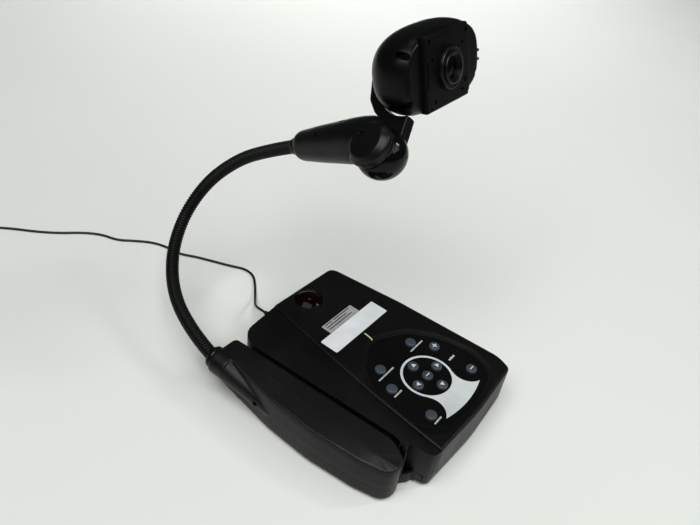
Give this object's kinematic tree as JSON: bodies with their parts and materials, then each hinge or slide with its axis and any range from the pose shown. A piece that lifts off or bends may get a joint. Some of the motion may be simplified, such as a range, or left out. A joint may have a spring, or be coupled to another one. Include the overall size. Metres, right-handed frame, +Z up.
{
  "type": "low vision magnifier",
  "caption": "Desktop video magnifier: control base with a fold-out arm, ribbed gooseneck, tilting and turning camera head with lens, keys, lead and adapter.",
  "frame": {"origin": "centre of the bounding box at table level, measured without the cord, its plug, coil and adapter", "axes": "+X towards the user's right, +Y towards the rear of the base, +Z up"},
  "size_m": [0.3261, 0.7234, 0.313],
  "materials": {
    "shell_black": "fine textured moulding",
    "satin_black": "satin moulding",
    "gloss_black": "polished",
    "neck_black": "ribbed coating over a spiral steel core",
    "key_grey": "satin keys",
    "silicone": "moulded pad",
    "board_green": "circuit board",
    "steel_plate": "plated sheet",
    "screw_steel": "blackened",
    "socket_metal": "plated shells",
    "plug_black": "satin",
    "dome_red": "dark tinted window",
    "light_green": "frosted light pipe",
    "paper_white": "stick-on tape",
    "label_silver": "metallised film",
    "rubber_black": "feet",
    "cord_black": "round flexible lead",
    "lens_glass": "coated"
  },
  "bodies": {
    "base": {"bottom_shell": "shell_black", "top_cover": "shell_black", "side_cover": "shell_black", "control_plate": "gloss_black", "button_pad": "silicone", "key_board": "board_green", "main_board": "board_green", "ballast_plate": "steel_plate", "port_block": "socket_metal", "dc_jack": "plug_black", "ir_dome": "dome_red", "light_bar": "light_green", "white_label": "paper_white", "silver_label": "label_silver", "feet": "rubber_black", "base_screws": "screw_steel", "hinge_bracket": "steel_plate", "dc_plug": "plug_black", "cord_tube": "cord_black", "cord_coil": "cord_black", "coil_tie": "cord_black", "power_adapter": "plug_black"},
    "arm": {"arm_bottom": "shell_black", "arm_top": "shell_black", "arm_screw": "screw_steel", "arm_foot": "rubber_black", "neck_collar": "satin_black"},
    "neck_1": {"neck_link_1": "neck_black"},
    "neck_2": {"neck_link_2": "neck_black"},
    "neck_3": {"neck_link_3": "neck_black"},
    "neck_4": {"neck_link_4": "neck_black"},
    "neck_5": {"neck_link_5": "neck_black"},
    "neck_6": {"neck_link_6": "neck_black", "neck_ferrule": "satin_black", "joint_housing": "satin_black", "housing_screw": "screw_steel", "friction_ring": "satin_black"},
    "tilt": {"tilt_hub": "gloss_black", "hub_screw": "screw_steel", "bracket": "satin_black"},
    "head": {"head_shell": "satin_black", "face_plate": "satin_black", "face_screws": "screw_steel", "lens_barrel": "gloss_black", "front_lens": "lens_glass", "sensor_board": "board_green"},
    "focus": {"focus_ring": "satin_black"},
    "switch": {"side_switch": "satin_black"},
    "key_up": {"button_up": "key_grey"},
    "key_down": {"button_down": "key_grey"},
    "key_left": {"button_left": "key_grey"},
    "key_right": {"button_right": "key_grey"},
    "key_centre": {"button_centre": "key_grey"},
    "key_plus": {"button_plus": "key_grey"},
    "key_minus": {"button_minus": "key_grey"},
    "key_effect": {"button_effect": "key_grey"},
    "key_freeze": {"button_freeze": "key_grey"},
    "key_text": {"button_text": "key_grey"},
    "key_colour": {"button_colour": "key_grey"}
  },
  "joints": [
    {"name": "arm_swing", "type": "hinge", "parent": "base", "child": "arm", "pos_m": [-0.10995, -0.13165, 0.01], "axis": [0, 0, 1], "range_deg": [0, 90]},
    {"name": "neck_bend_1", "type": "hinge", "parent": "arm", "child": "neck_1", "pos_m": [-0.11776, 0.04285, 0.0327], "axis": [-0.7172, 0.3121, 0.6231], "range_deg": [-12, 12]},
    {"name": "neck_bend_2", "type": "hinge", "parent": "neck_1", "child": "neck_2", "pos_m": [-0.10542, 0.09635, 0.04204], "axis": [-0.7172, 0.3121, 0.6231], "range_deg": [-15, 15]},
    {"name": "neck_bend_3", "type": "hinge", "parent": "neck_2", "child": "neck_3", "pos_m": [-0.07699, 0.14224, 0.0549], "axis": [-0.7172, 0.3121, 0.6231], "range_deg": [-15, 15]},
    {"name": "neck_bend_4", "type": "hinge", "parent": "neck_3", "child": "neck_4", "pos_m": [-0.0372, 0.16761, 0.08281], "axis": [-0.7172, 0.3121, 0.6231], "range_deg": [-15, 15]},
    {"name": "neck_bend_5", "type": "hinge", "parent": "neck_4", "child": "neck_5", "pos_m": [-0.00519, 0.15424, 0.12474], "axis": [-0.7172, 0.3121, 0.6231], "range_deg": [-15, 15]},
    {"name": "neck_bend_6", "type": "hinge", "parent": "neck_5", "child": "neck_6", "pos_m": [0.00658, 0.11395, 0.16092], "axis": [-0.7172, 0.3121, 0.6231], "range_deg": [-15, 15]},
    {"name": "head_tilt", "type": "hinge", "parent": "neck_6", "child": "tilt", "pos_m": [-0.00125, -0.02894, 0.22639], "axis": [-0.685, 0.3498, 0.639], "range_deg": [-75, 5]},
    {"name": "head_turn", "type": "hinge", "parent": "tilt", "child": "head", "pos_m": [0.06756, 0.01724, 0.26793], "axis": [0, -0.9613, 0.2756], "range_deg": [-90, 0]},
    {"name": "focus_turn", "type": "hinge", "parent": "head", "child": "focus", "pos_m": [0.06756, -0.03433, 0.28275], "axis": [0, -0.9613, 0.2756], "range_deg": [-120, 120]},
    {"name": "switch_slide", "type": "slide", "parent": "head", "child": "switch", "axis": [0, 0.2756, 0.9613], "range_m": [-0.003, 0.003]},
    {"name": "key_up_press", "type": "slide", "parent": "base", "child": "key_up", "axis": [0, 0, -1], "range_m": [0, 0.0008], "stiffness_N_per_m": 500},
    {"name": "key_down_press", "type": "slide", "parent": "base", "child": "key_down", "axis": [0, 0, -1], "range_m": [0, 0.0008], "stiffness_N_per_m": 500},
    {"name": "key_left_press", "type": "slide", "parent": "base", "child": "key_left", "axis": [0, 0, -1], "range_m": [0, 0.0008], "stiffness_N_per_m": 500},
    {"name": "key_right_press", "type": "slide", "parent": "base", "child": "key_right", "axis": [0, 0, -1], "range_m": [0, 0.0008], "stiffness_N_per_m": 500},
    {"name": "key_centre_press", "type": "slide", "parent": "base", "child": "key_centre", "axis": [0, 0, -1], "range_m": [0, 0.0008], "stiffness_N_per_m": 500},
    {"name": "key_plus_press", "type": "slide", "parent": "base", "child": "key_plus", "axis": [0, 0, -1], "range_m": [0, 0.0008], "stiffness_N_per_m": 500},
    {"name": "key_minus_press", "type": "slide", "parent": "base", "child": "key_minus", "axis": [0, 0, -1], "range_m": [0, 0.0008], "stiffness_N_per_m": 500},
    {"name": "key_effect_press", "type": "slide", "parent": "base", "child": "key_effect", "axis": [0, 0, -1], "range_m": [0, 0.0008], "stiffness_N_per_m": 500},
    {"name": "key_freeze_press", "type": "slide", "parent": "base", "child": "key_freeze", "axis": [0, 0, -1], "range_m": [0, 0.0008], "stiffness_N_per_m": 500},
    {"name": "key_text_press", "type": "slide", "parent": "base", "child": "key_text", "axis": [0, 0, -1], "range_m": [0, 0.0008], "stiffness_N_per_m": 500},
    {"name": "key_colour_press", "type": "slide", "parent": "base", "child": "key_colour", "axis": [0, 0, -1], "range_m": [0, 0.0008], "stiffness_N_per_m": 500}
  ]
}
